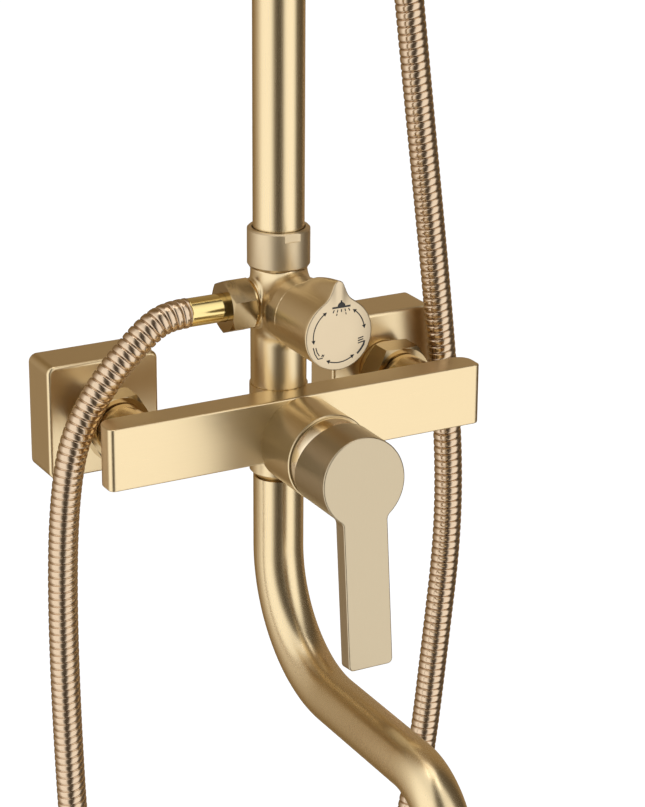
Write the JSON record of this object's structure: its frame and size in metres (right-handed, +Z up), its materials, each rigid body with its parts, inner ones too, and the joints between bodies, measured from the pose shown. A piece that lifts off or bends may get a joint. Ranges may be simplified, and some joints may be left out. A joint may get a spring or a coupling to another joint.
{
  "type": "rainfall shower column",
  "caption": "Wall-mounted brushed gold shower column: bar mixer with lever, diverter knob, riser, rain head, sliding hand shower on a hose and a swivel bath spout.",
  "frame": {"origin": "on the wall surface, midway between the two water inlets", "axes": "+X to the right seen from the room, +Y into the wall, +Z up along the riser"},
  "size_m": [0.25, 0.555, 1.4378],
  "materials": {
    "brushed_gold": "satin brushed gold plating",
    "polished_gold": "polished gold plating",
    "hose_metal": "corrugated plated metal hose",
    "plated_plastic": "satin gold plating on plastic",
    "plated_steel": "satin gold plating on stainless steel",
    "raw_brass": "machined brass",
    "seal_rubber": "matt rubber",
    "moulded_plastic": "moulded",
    "ceramic": "lapped ceramic",
    "screw_steel": "machined steel"
  },
  "bodies": {
    "root": {"arm_ball": "brushed_gold", "bracket_arm": "brushed_gold", "bracket_flange": "brushed_gold", "bracket_plate": "raw_brass", "bracket_screws": "screw_steel", "bracket_set_screw": "screw_steel", "cartridge_body": "moulded_plastic", "cartridge_nut": "raw_brass", "check_valves": "moulded_plastic", "diverter_body": "brushed_gold", "diverter_cartridge": "moulded_plastic", "escutcheon_left": "brushed_gold", "escutcheon_right": "brushed_gold", "fixed_disc": "ceramic", "hose_ferrule": "polished_gold", "hose_nipple": "polished_gold", "hose_nut": "polished_gold", "hose_washer": "seal_rubber", "inlet_tails": "brushed_gold", "inlet_washers": "seal_rubber", "mixer_body": "brushed_gold", "riser_collar": "brushed_gold", "riser_coupling": "brushed_gold", "riser_lower": "brushed_gold", "riser_seal": "seal_rubber", "riser_upper": "brushed_gold", "shower_hose": "hose_metal", "spout_screw": "screw_steel", "trim_dome": "brushed_gold", "union_nut_left": "polished_gold", "union_nut_right": "polished_gold", "wall_union_left": "raw_brass", "wall_union_right": "raw_brass"},
    "cartridge_turn": {"cartridge_rotor": "moulded_plastic", "moving_disc": "ceramic", "pivot_pin": "screw_steel"},
    "lever": {"cartridge_stem": "raw_brass", "lever_handle": "brushed_gold", "lever_screw": "screw_steel"},
    "diverter": {"diverter_knob": "brushed_gold", "diverter_spindle": "raw_brass", "knob_screw": "screw_steel"},
    "spout": {"spout_tube": "brushed_gold", "spout_sleeve": "raw_brass", "spout_o_ring": "seal_rubber", "aerator_housing": "brushed_gold", "aerator_insert": "moulded_plastic"},
    "slider": {"slider_body": "brushed_gold", "slider_bush": "moulded_plastic", "hose_cone": "polished_gold", "cone_washer": "seal_rubber", "handset_body": "plated_plastic", "handset_face": "plated_plastic", "handset_nozzles": "seal_rubber"},
    "slider_clamp": {"slider_knob": "polished_gold"},
    "ball_washer": {"ball_seat": "moulded_plastic"},
    "rain_head": {"ball_nut": "brushed_gold", "head_shell": "plated_steel", "head_face": "plated_steel", "head_nozzles": "seal_rubber"}
  },
  "joints": [
    {"name": "lever_turn", "type": "hinge", "parent": "root", "child": "cartridge_turn", "pos_m": [0, -0.104, -0.0063], "axis": [0, 1, 0], "range_deg": [-45, 45]},
    {"name": "lever_lift", "type": "hinge", "parent": "cartridge_turn", "child": "lever", "pos_m": [0, -0.104, -0.0063], "axis": [-1, 0, 0], "range_deg": [0, 20]},
    {"name": "diverter_turn", "type": "hinge", "parent": "root", "child": "diverter", "pos_m": [0, -0.1, 0.056], "axis": [0, 1, 0], "continuous": true},
    {"name": "spout_swivel", "type": "hinge", "parent": "root", "child": "spout", "pos_m": [0, -0.055, -0.05], "axis": [0, 0, 1], "range_deg": [-60, 60]},
    {"name": "slider_slide", "type": "slide", "parent": "root", "child": "slider", "axis": [0, 0, 1], "range_m": [-0.15, 0.13], "deforming": ["shower_hose"]},
    {"name": "slider_clamp_turn", "type": "hinge", "parent": "slider", "child": "slider_clamp", "pos_m": [-0.03, -0.055, 0.6], "axis": [-1, 0, 0], "range_deg": [0, 180]},
    {"name": "head_tilt", "type": "hinge", "parent": "root", "child": "ball_washer", "pos_m": [0, -0.4, 0.99], "axis": [1, 0, 0], "range_deg": [-12, 12]},
    {"name": "head_roll", "type": "hinge", "parent": "ball_washer", "child": "rain_head", "pos_m": [0, -0.4, 0.99], "axis": [0, 1, 0], "range_deg": [-12, 12]}
  ]
}
